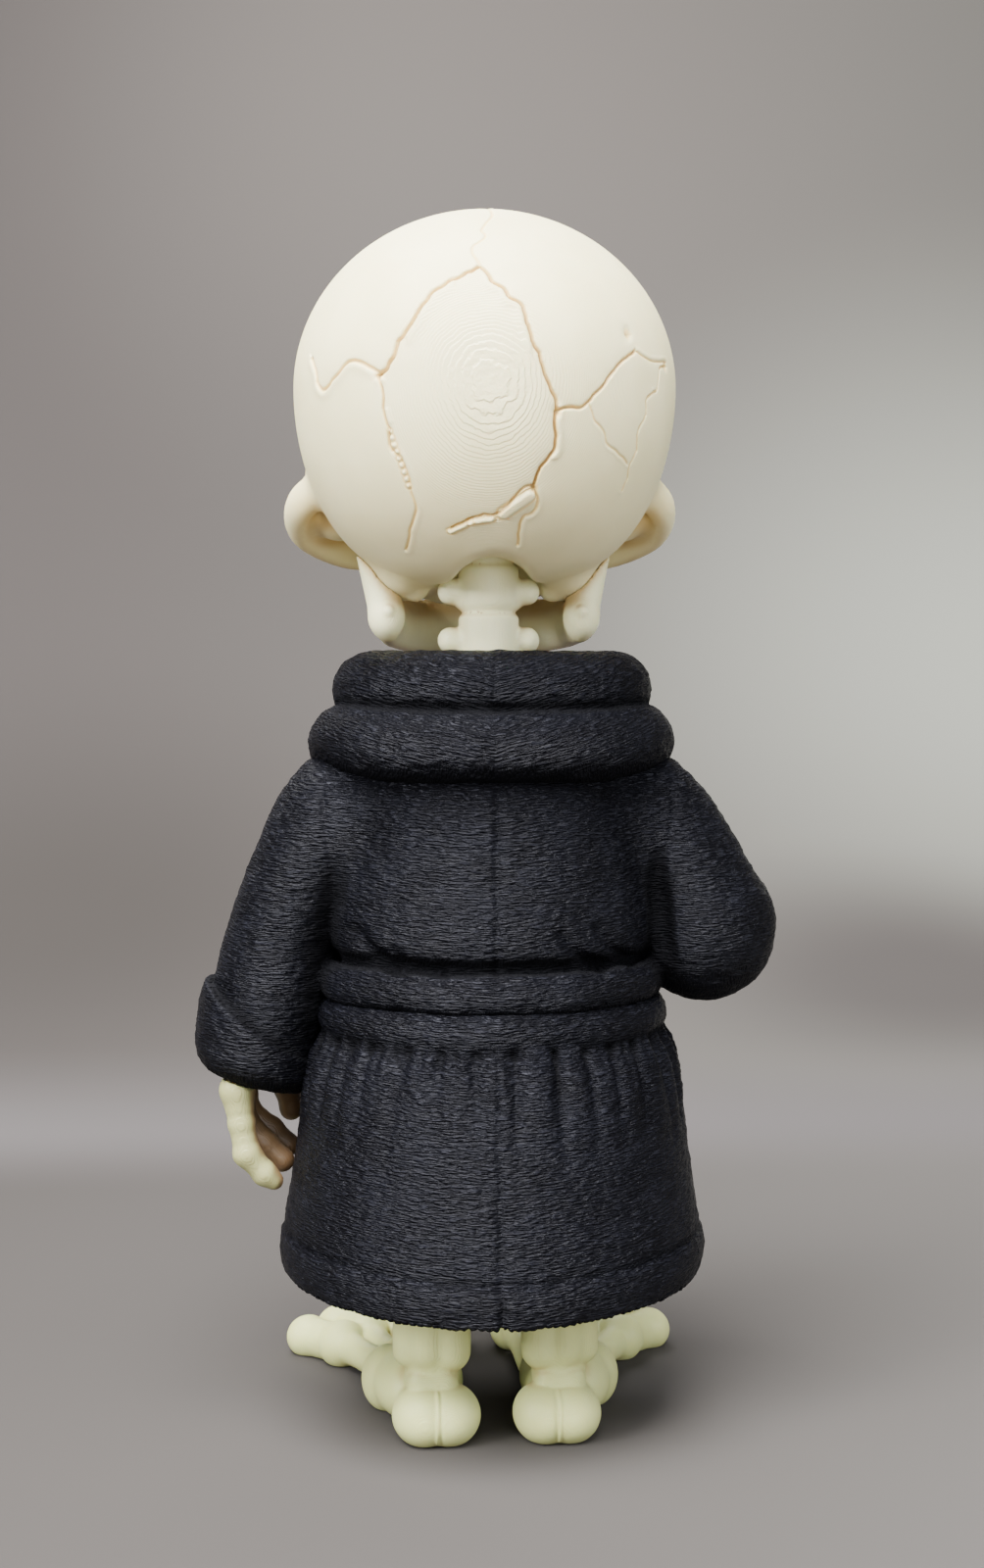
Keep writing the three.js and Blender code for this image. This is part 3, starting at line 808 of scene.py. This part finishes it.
# The armholes' seams, then the tucks over the belt: x and z of their points, depth and width.
BACK_LINES = [
    ([(27.8, 107), (27.4, 100), (26, 92)], 0.3, 0.5),
    ([(-28.8, 108), (-28.4, 100), (-26, 92)], 0.3, 0.5),
    ([(22.5, 83), (20.2, 80), (15.8, 77.4)], 1.0, 1.1),
    ([(17, 80.5), (13.5, 78.2), (9, 77.3)], 0.5, 1.0),
    ([(-9.5, 83), (-12, 80), (-16, 77.6)], 0.8, 1.0),
    ([(-15.5, 83.5), (-18.5, 80), (-21.5, 78)], 0.7, 1.0),
]


def fleece(p):
    seed = SEEDS["fleece"]
    tilt = p.copy()
    tilt[:, 2] += 0.9 * noise(p, 9, seed)
    return sum(depth * noise(tilt, size, seed + n) for n, (depth, size) in enumerate(TUFTS, start=1))


def robe_relief(p, _):
    """The fleece with the seam down the back and the stitched fold above the hem."""
    height = fleece(p)
    x, y, z = p.T
    wander = 0.25 * noise(p * [0, 0, 1], 3, SEEDS["back seam"])
    behind = ease(y, 8, 12) * (1 - ease(z, 106, 112))
    belt = ease(z, 64.5, 66) * (1 - ease(z, 76, 77.5))
    seam = bell(x - BACK_SEAM["x"] - wander, BACK_SEAM["width"]) * behind * (1 - belt)
    off_fold = z - hem_rise(p) - HEM_FOLD["z"] - 0.3 * noise(p, 6, SEEDS["hem fold"])
    outside = ease(oval(p, HEM["wide"], HEM["deep"]), 0.9, 0.97)
    fold = bell(off_fold, HEM_FOLD["width"]) * outside
    height += HEM_FOLD["rise"] * (1 - ease(off_fold, -1.2, 0)) * outside
    height -= BACK_SEAM["depth"] * seam + HEM_FOLD["depth"] * fold
    back = np.flatnonzero(y > 3)
    flat = p[back] * [1, 0, 1]
    for route, depth, width in BACK_LINES:
        line = smooth_path([(x, 0, z) for x, z in route])
        height[back] -= depth * bell(off_line(flat, line), width)
    return height, {}


def plain_fleece(p, _):
    return fleece(p), {}


# Hands


def finger(joints, waist=0.78):
    """A finger from its joints, each x, y, z and radius, slimmer between them."""
    shapes = []
    for (*start, r), (*end, s) in zip(joints, joints[1:]):
        middle = (np.array(start) + end) / 2
        thin = (r + s) / 2 * waist
        shapes += [rod(start, middle, r * 0.9, thin), rod(middle, end, thin, s * 0.9)]
    return shapes + [ball(place, radius) for *place, radius in joints]


# The three fingers and the thumb.
LEFT_DIGITS = [
    [(42, 1.6, 55.6, 2.9), (41.3, 2.2, 50.2, 2.1), (40.4, 2.6, 45.3, 2.2), (37.6, 2.4, 41.9, 1.9),
     (36, 2.2, 40.6, 1.3)],
    [(41.8, -3.6, 56, 2.5), (41.2, -4, 49.6, 2.1), (38, -4.2, 45.6, 2.1), (34.9, -4, 42.6, 1.9)],
    [(41.6, -8.4, 56, 2.4), (40.8, -9, 50, 2.1), (37, -9.2, 46.6, 2.1), (34, -9, 44, 1.8)],
    [(36.6, -9, 57.5, 2.6), (34.3, -11.8, 53.4, 2.2), (33.6, -12.8, 49.4, 1.9)],
]


def left_hand_form(sleeve):
    """The hanging hand, with its fingers curled in."""
    clay = Clay()
    for joints in LEFT_DIGITS:
        clay.add(*finger(joints, waist=0.88), soft=0.9)
    clay.add(rod((41.6, 0, 58.4), (40, -9, 58.4), 2.8, 2.6), soft=1)
    clay.add(rod((40.2, -4.2, 62), (40.4, -4.6, 59.4), 4.2, 3.8), soft=1)
    return clay.cut(grown(sleeve, 0.1), soft=0.1)


def own_shade(p, direction):
    """Painted brown shade on the hanging hand's far fingers and inner sides."""
    out, back, _ = direction.T
    far = ease(-p[:, 1], -0.4, 2)
    towards_body = ease(back - out, -0.3, 0.7)
    inner = ease(-out, 0.55, 1) * 0.6
    return np.zeros(len(p)), {"crack": np.maximum(far * towards_body, inner) * 0.9}


def right_hand_form(sleeve):
    """The hand held closed before the chest."""
    top = [(-19.5, -33, 90, 2.8), (-13, -34.8, 90.2, 2.6), (-10.3, -31.6, 89.6, 2.3)]
    clay = Clay()
    for n in range(3):
        clay.add(*finger([(x + 0.5 * n, y - 0.4 * n, z - 5.2 * n, r) for x, y, z, r in top]), soft=0.6)
    thumb = [(-21.5, -28.6, 91.3, 2.5), (-16.6, -29.8, 94.4, 2.3), (-12.6, -30.6, 94.2, 2.1)]
    clay.add(*finger(thumb), soft=0.6)
    clay.add(rod((-20.2, -31.6, 88.8), (-19.6, -32.4, 80.8), 3.1, 3), soft=1.5)
    clay.add(rod((-28.3, -25.4, 85.2), (-21, -31, 85), 4.2, 4.4), soft=1.5)
    return clay.cut(grown(sleeve, 0.1), soft=0.1)


# Legs

HEEL_X, SHIN_X = 9.8, 10.4
SOLE_CUT = 0.7
HEEL_SEAM = {"rise": 0.28, "dip": 0.16, "width": 0.28}
# Upright lobes round the ankle: x outwards from the shin's middle, y, lowest and highest level, radius.
ANKLE_LOBES = [(-2.7, 9, 14.6, 26, 3.6), (0.9, 9.8, 15, 20.5, 3.2), (1.2, 8.8, 24, 31, 3.4)]
ANKLE_LOBES += [(3.4, 8.2, 14.6, 26, 3)]
TOES = [
    ((16.5, -9, 5), (25, -27.2), (31.2, -33.4)),
    ((14, -10, 5.4), (20.6, -31.6), (25.8, -38.8)),
    ((11, -11, 5.6), (13, -33.4), (15.4, -41.4)),
    ((8, -11, 5.6), (6.4, -33.8), (6.6, -41.4)),
]


def leg_form(side):
    """Shin, ankle, two-lobed heel, midfoot and four beaded toes, flat underneath."""

    def at(x, y, z):
        return (side * x, y, z - SOLE_CUT)

    clay = Clay()
    clay.add(rod(at(SHIN_X, 7.6, 31), at(SHIN_X, 7.6, 10), 5.2, 4.4))
    for x, y, low, high, radius in ANKLE_LOBES:
        clay.add(rod(at(SHIN_X + x, y, low), at(SHIN_X + x, y, high), radius), soft=0.6)
    clay.add(rod(at(SHIN_X - 1.6, 10.2, 9.6), at(SHIN_X + 1.6, 10.2, 9.6), 2.6), soft=0.35)
    for lobe in SIDES:
        clay.add(ball(at(HEEL_X + lobe * 1.9, 11, 4.7), (5.3, 6.7, 4.9)), soft=0.5)
    clay.add(ball(at(12.4, -2, 6), (7.6, 11, 6.2)), soft=0.8)
    joint_ball = ball(at(12.2, -9.6, 6.6), (6.6, 4.4, 5.2))
    clay.add(ball(at(17.2, -4.6, 5.5), (4.6, 5.6, 5.6)), joint_ball, soft=0.5)
    for root, knuckle, tip in TOES:
        bend, end = (*knuckle, 4.0), (*tip, 3.5)
        middle = (np.array(root) + bend) / 2
        clay.add(rod(at(*root), at(*middle), 3.0, 2.4), rod(at(*middle), at(*bend), 2.4, 3.0), soft=0.6)
        clay.add(ball(at(*bend), (4.4, 4.7, 4.2)), soft=0.6)
        clay.add(rod(at(*bend), at(*end), 3.4), ball(at(*end), (4, 4.2, 3.8)), soft=0.5)
    clay.keep(below(UNDERSIDE_Z - FIT_GAP), soft=0.2)
    return clay.keep(above(0), soft=0.3)


def off_heel_seam(p):
    return np.abs(p[:, 0]) - HEEL_X - 0.15 * noise(p, 2, SEEDS["heel"])


def near_heel_seam(p):
    """The ridge down the heel, which needs a finer mesh."""
    _, y, z = p.T
    return (np.abs(off_heel_seam(p)) < 1.3) & (y > 11) & (z < 10.5)


def leg_relief(p, _):
    """The ridge between the heel's two lobes, which stops above the sole."""
    away = off_heel_seam(p)
    _, y, z = p.T
    on_heel = ease(y, 12, 14.5) * (1 - ease(z, 8.8, 10)) * ease(z, 0.3, 1.2)
    ridge = HEEL_SEAM["rise"] * bell(away, HEEL_SEAM["width"])
    ridge -= HEEL_SEAM["dip"] * bell(away + 0.55, 0.25)
    return ridge * on_heel, {}


# Materials


class Wire:
    """A shader socket on which each of Python's operators adds one Math node."""

    def __init__(self, look, socket):
        self.look = look
        self.socket = socket

    def _math(self, operation, *values):
        return self.look.node("Math", {"operation": operation}, dict(enumerate(values)))

    def __add__(self, other):
        return self._math("ADD", self, other)

    def __sub__(self, other):
        return self._math("SUBTRACT", self, other)

    def __rsub__(self, other):
        return self._math("SUBTRACT", other, self)

    def __mul__(self, other):
        return self._math("MULTIPLY", self, other)

    __radd__ = __add__
    __rmul__ = __mul__

    def size(self):
        return self._math("ABSOLUTE", self)

    def fraction(self):
        return self._math("FRACT", self)


class Look:
    """A material whose nodes are added by one method."""

    def __init__(self, name):
        self.material = bpy.data.materials.new(name)
        self.material.use_nodes = True
        self.tree = self.material.node_tree
        self.shader = self.tree.nodes["Principled BSDF"]
        self.shear = None

    def node(self, kind, settings=None, sockets=None, output=0):
        made = self.tree.nodes.new("ShaderNode" + kind)
        for name, value in (settings or {}).items():
            setattr(made, name, value)
        for name, value in (sockets or {}).items():
            self.feed(made.inputs[name], value)
        return Wire(self, made.outputs[output])

    def feed(self, socket, value):
        if isinstance(value, Wire):
            self.tree.links.new(value.socket, socket)
        else:
            socket.default_value = value

    def set(self, **values):
        """Sets or feeds the shader's own sockets, and gives the material."""
        for name, value in values.items():
            self.feed(self.shader.inputs[name.replace("_", " ")], value)
        return self.material

    def place(self, scale=(1, 1, 1)):
        """Object coordinates in millimetres, scaled."""
        where = self.node("TexCoord", output="Object")
        if self.shear:
            where = self.vector_math("ADD", where, self.shear, "Vector")
        return self.node("Mapping", {}, {"Vector": where, "Scale": [s / MM for s in scale]})

    def grain(self, size, detail=2.0, roughness=0.5):
        """Noise from 0 to 1; size is its grain in millimetres, for all axes or for each."""
        where = self.place(1 / (np.ones(3) * size))
        sockets = {"Vector": where, "Scale": 1.0, "Detail": detail, "Roughness": roughness}
        return self.node("TexNoise", {}, sockets)

    def vector_math(self, operation, first, second, output="Value"):
        return self.node("VectorMath", {"operation": operation}, {0: first, 1: second}, output)

    def along(self, direction):
        """The distance in millimetres along a direction."""
        return self.vector_math("DOT_PRODUCT", self.place(), direction)

    def lean(self, slope):
        """Makes the grain run down towards the figure's middle plane from both sides."""
        drop = self.along((1, 0, 0)).size() * (-slope * MM)
        self.shear = self.node("CombineXYZ", {}, {"Z": drop})

    def distance_to(self, place):
        """The distance in millimetres from a place in the figure's frame."""
        where = self.node("TexCoord", output="Object")
        centre = tuple((np.array(place) + PACKED_SHIFT) * MM)
        return self.vector_math("DISTANCE", where, centre) * (1 / MM)

    def mark(self, name):
        return self.node("Attribute", {"attribute_name": name}, output="Fac")

    def mix(self, factor, first, second):
        first, second = (c if isinstance(c, Wire) else (*c, 1) for c in (first, second))
        settings = {"data_type": "RGBA", "clamp_factor": True}
        return self.node("Mix", settings, {0: factor, 6: first, 7: second}, 2)

    def ease(self, value, low, high):
        sockets = {"Value": value, "From Min": low, "From Max": high}
        return self.node("MapRange", {"interpolation_type": "SMOOTHSTEP"}, sockets)

    def bump(self, height, millimetres):
        """The normal of a relief whose height from 0 to 1 stands for some millimetres."""
        return self.node("Bump", {}, {"Height": height, "Distance": millimetres * MM})


LAYER = 0.186  # height of a printed layer
LAYER_UP = np.array([0.049, 1, -0.063])  # the skull was printed lying on its face
RINGS_AT = (2.5, 34, 166.6)  # where its layers' rings close, at the back of the head


def bone_finish(name, colour, shade, layer_way, layer_depth, shade_colours=(), rings_at=None):
    """Printed bone: a little translucent, with painted warm shade in its hollows and painted shade where its
    shade mark is set, and fine layer lines.
    """
    look = Look(name)
    cloudy = look.grain(9, 3.0)
    darker = [c * k for c, k in zip(colour, (0.95, 0.945, 0.91))]
    base = look.mix(look.ease(cloudy, 0.3, 0.7), colour, darker)
    # Painted shade: the bone turns to the shade colour where the forms keep the light away.
    base = look.mix(look.ease(look.mark("hollow"), 0.15, 0.85) * 0.85, base, shade)
    # Painted shade where the shade mark is set: a warm band, then a darker core.
    for shade_colour, start in zip(shade_colours, (0, 0.5)):
        crack = look.ease(look.mark("crack"), start, start + 0.5) * 0.85
        base = look.mix(crack, base, shade_colour)
    unit = layer_way / np.linalg.norm(layer_way)
    wobble = look.grain(2.4, 3.0, 0.62) * (1.7 * LAYER)
    step = ((look.along(tuple(unit)) + wobble) * (1 / LAYER)).fraction()
    lines = look.ease(step, 0, 0.3) - step
    strength = look.ease(look.grain(12), 0.2, 0.6)
    if rings_at:
        strength = strength + (1 - look.ease(look.distance_to(rings_at), 2, 11)) * 2.5
    fine = look.grain(0.5, 3.0, 0.6)
    relief = lines * strength + fine * 0.4
    return look.set(
        Base_Color=base,
        Roughness=fine * 0.14 + 0.38,
        Normal=look.bump(relief, layer_depth),
        Specular_IOR_Level=0.42,
        Subsurface_Weight=0.18,
        Subsurface_Radius=(1.0, 0.62, 0.34),
        Subsurface_Scale=1.6 * MM,
    )


def fleece_finish(name, slope):
    """Black printed fleece: strokes that lean towards the middle and catch the light, with painted sheen on
    their crests and painted shade in its creases.
    """
    look = Look(name)
    look.lean(slope)
    level = look.grain((1.8, 1.8, 0.29), 2.0, 0.45)
    fringe = look.grain((0.28, 1.0, 1.3), 2.0, 0.45)
    down = look.vector_math("DOT_PRODUCT", look.node("TexCoord", output="Normal"), (0, 0, -1))
    strokes = level + (fringe - level) * look.ease(down, 0.35, 0.7)
    tufts = look.grain((3, 3, 1), 1.0)
    hairs = look.grain((1.4, 1.4, 0.15), 1.0)
    ridges = look.ease(strokes, 0.33, 0.67) + hairs * 0.35
    # Lighter and darker blotches at random.
    random_blotches = look.ease(look.grain((7, 7, 5), 3.0), 0.35, 0.75)
    base = look.mix(random_blotches, (0.0018, 0.0018, 0.0029), (0.0038, 0.004, 0.0062))
    # Painted sheen: a lighter, bluish colour on the strokes' crests.
    base = look.mix(look.ease(strokes, 0.5, 0.75) * 0.6, base, (0.0105, 0.011, 0.016))
    # Painted shade: near black where the forms keep the light away; the roughness rises there too.
    deep = look.ease(look.mark("hollow"), 0.1, 0.45)
    base = look.mix(deep * 0.85, base, (0.0006, 0.0006, 0.001))
    return look.set(
        Base_Color=base,
        Roughness=tufts * 0.2 + deep * 0.35 + 0.34,
        Normal=look.bump(ridges + tufts * 0.3, 0.45),
        Specular_IOR_Level=0.12,
        Specular_Tint=(0.87, 0.88, 1, 1),
    )


# Camera, light and floor

CAMERA = {"distance": 340, "height": 125, "yaw": 4.0, "tilt": 3.26, "focal_px": 2108}
PHOTO_HEIGHT = 1600


def aimed(name, data, place, ahead):
    """A camera or a lamp at a place in metres, looking along a direction."""
    made = placed(name, data)
    made.location = place
    made.rotation_euler = Vector(ahead).to_track_quat("-Z", "Y").to_euler()
    return made


def camera():
    """The photo's view: from behind, at the height of the collar."""
    yaw, tilt = math.radians(CAMERA["yaw"]), math.radians(CAMERA["tilt"])
    data = bpy.data.cameras.new("camera")
    data.sensor_width = 36
    data.lens = data.sensor_width * CAMERA["focal_px"] / PHOTO_HEIGHT
    data.clip_start, data.clip_end = 0.01, 50
    away = np.array([math.sin(yaw), math.cos(yaw), 0])
    place = (away * CAMERA["distance"] + PACKED_SHIFT + [0, 0, CAMERA["height"]]) * MM
    ahead = [*(-away[:2] * math.cos(tilt)), -math.sin(tilt)]
    bpy.context.scene.camera = aimed("camera", data, place, ahead)


# Square lamps: place and size in metres, watts and colour.
LIGHTS = {
    "key light": ((0.18, 0.34, 0.88), 0.75, 60.0, (1, 0.985, 0.96)),
    "window light": ((0.74, 0.52, 0.42), 0.26, 10.5, (1, 1, 1)),
    "low light": ((-0.12, 0.95, 0.2), 0.5, 4.5, (1, 1, 1)),
    "side light": ((-0.8, 0.35, 0.5), 0.5, 5.0, (0.95, 0.97, 1)),
    "front light": ((0.1, -0.7, 0.9), 0.6, 10.0, (1, 1, 1)),
}
LIGHTS_AIM = (0, 0, 0.11)
ROOM_LIGHT = {"Color": (0.9, 0.92, 1, 1), "Strength": 0.2}


def studio():
    for name, (place, size, watts, colour) in LIGHTS.items():
        data = bpy.data.lights.new(name, "AREA")
        data.size, data.energy, data.color = size, watts, colour
        aimed(name, data, place, Vector(LIGHTS_AIM) - Vector(place))
    world = bpy.data.worlds.new("soft room")
    world.use_nodes = True
    for name, value in ROOM_LIGHT.items():
        world.node_tree.nodes["Background"].inputs[name].default_value = value
    bpy.context.scene.world = world


# The paper is grey, and its colour also carries painted light: lighter to the right and in a band where it
# bends up.
PAPER_AND_PAINTED_LIGHT = {
    "floor left": (0.0475, 0.043, 0.041),
    "floor right": (0.083, 0.078, 0.0745),
    "band": (0.088, 0.081, 0.082),
    "wall left": (0.06, 0.0535, 0.0515),
    "wall right": (0.096, 0.091, 0.084),
}
# Its painted pools of light and painted shade: middle, reach and colour.
PAINTED_LIGHT_PATCHES = [
    ((-55, -790, 450), 330, (0.106, 0.096, 0.09)),
    ((-340, -600, 140), 320, (0.235, 0.242, 0.215)),
    ((137, -440, 34), 220, (0.044, 0.0395, 0.037)),
    ((-180, -380, 15), 130, (0.055, 0.05, 0.048)),
]
SWEEP = {"front": 2.0, "flat_to": -0.25, "bend": 0.55, "top": 3.0, "half_width": 4.0}


def floor():
    """A paper sweep, flat under the figure and curving up far behind it, with painted light and shade in its
    colour.
    """
    bend, flat_to, half = SWEEP["bend"], SWEEP["flat_to"], SWEEP["half_width"]
    outline = [(SWEEP["front"], 0.0)]
    for a in np.radians(np.linspace(0, 90, 25)):
        outline.append((flat_to - bend * math.sin(a), bend * (1 - math.cos(a))))
    outline.append((outline[-1][0], SWEEP["top"]))
    points = [(x, y, z) for y, z in outline for x in (-half, half)]
    faces = [(2 * i, 2 * i + 1, 2 * i + 3, 2 * i + 2) for i in range(len(outline) - 1)]
    mesh = bpy.data.meshes.new("floor")
    mesh.from_pydata(points, [], faces)
    mesh.shade_smooth()
    look = Look("grey paper with painted light")
    # Painted light and shade over the grey paper.
    across = look.ease(look.along((-1, 0, 0)), -200, 250)
    back = look.along((0, -1, 0))
    wall = look.mix(across, PAPER_AND_PAINTED_LIGHT["wall left"], PAPER_AND_PAINTED_LIGHT["wall right"])
    for place, reach, colour in PAINTED_LIGHT_PATCHES:
        wall = look.mix(1 - look.ease(look.distance_to(place), 20, reach), wall, colour)
    lit_paper = look.mix(across, PAPER_AND_PAINTED_LIGHT["floor left"], PAPER_AND_PAINTED_LIGHT["floor right"])
    lit_paper = look.mix(look.ease(back, 145, 215), lit_paper, PAPER_AND_PAINTED_LIGHT["band"])
    lit_paper = look.mix(look.ease(back, 205, 320), lit_paper, wall)
    mesh.materials.append(look.set(Base_Color=lit_paper, Roughness=0.9, Specular_IOR_Level=0.1))
    placed("floor", mesh)


# The neck's and jaw's ivory is lighter than the skull's: painted light where the skull shades them.
IVORY, LIT_NECK_IVORY = (0.92, 0.85, 0.5), (0.98, 0.96, 0.6)
# The hands' cream is darker than the feet's: painted shade for hands lying in the sleeves' shade. The feet's
# cream is their own colour.
SHADED_HAND_CREAM, FOOT_CREAM = (0.36, 0.36, 0.165), (0.62, 0.65, 0.28)
# Colours of painted shade: in each bone's hollows, then along the sutures and on the hanging hand.
HOLLOW_SHADE_TAN, HAND_SHADE, FOOT_SHADE = (0.5, 0.33, 0.13), (0.11, 0.062, 0.03), (0.5, 0.42, 0.17)
SUTURE_SHADES = [(0.86, 0.64, 0.25), (0.33, 0.18, 0.05)]
HAND_SHADES = [(0.2, 0.12, 0.055), HAND_SHADE]
FLAT_UP = np.array([0, 1.0, 0])  # the smaller bones were printed lying flat


def main():
    camera()
    studio()
    floor()
    ivory = bone_finish("ivory bone", IVORY, HOLLOW_SHADE_TAN, LAYER_UP, 0.05, SUTURE_SHADES, RINGS_AT)
    lit_neck_ivory = bone_finish("lit neck bone", LIT_NECK_IVORY, HOLLOW_SHADE_TAN, FLAT_UP, 0.04)
    shaded_hand_cream = bone_finish("shaded hand bone", SHADED_HAND_CREAM, HAND_SHADE, FLAT_UP, 0.05, HAND_SHADES)
    foot_cream = bone_finish("foot bone", FOOT_CREAM, FOOT_SHADE, FLAT_UP, 0.05)
    black_fleece = fleece_finish("black fleece", 0.04)
    collar_fleece = fleece_finish("collar fleece", 0.22)

    skull, skirt = skull_form(), skirt_form()
    head, jaw = moved(skull, HEAD_X), moved(jaw_form(skull), HEAD_X)
    sculpt("skull", "bone", ivory, head, 0.92, skull_relief, SKULL_LEVELS)
    sculpt("jaw", "bone", lit_neck_ivory, jaw, 0.45, beside=[head])
    sculpt("neck", "bones", lit_neck_ivory, neck_form(), 0.4)
    left, right = left_sleeve(), right_sleeve()
    hanging, held = left_hand_form(left), right_hand_form(right)
    sculpt("left_hand", "bones", shaded_hand_cream, hanging, 0.4, own_shade, (), [skirt])
    sculpt("right_hand", "bones", shaded_hand_cream, held, 0.4, beside=[right])
    for node, side in (("left_leg", LEFT), ("right_leg", RIGHT)):
        leg = leg_form(side)
        near = [near_heel_seam]
        sculpt(node, "bones", foot_cream, leg, 0.45, leg_relief, near, [skirt])
    sculpt("robe", "skirt", black_fleece, skirt, 0.55, robe_relief, [near_hem])
    sculpt("robe", "jacket", black_fleece, jacket_form(), 0.55, robe_relief)
    sculpt("robe", "collar", collar_fleece, collar_form(), 0.5, plain_fleece)


main()
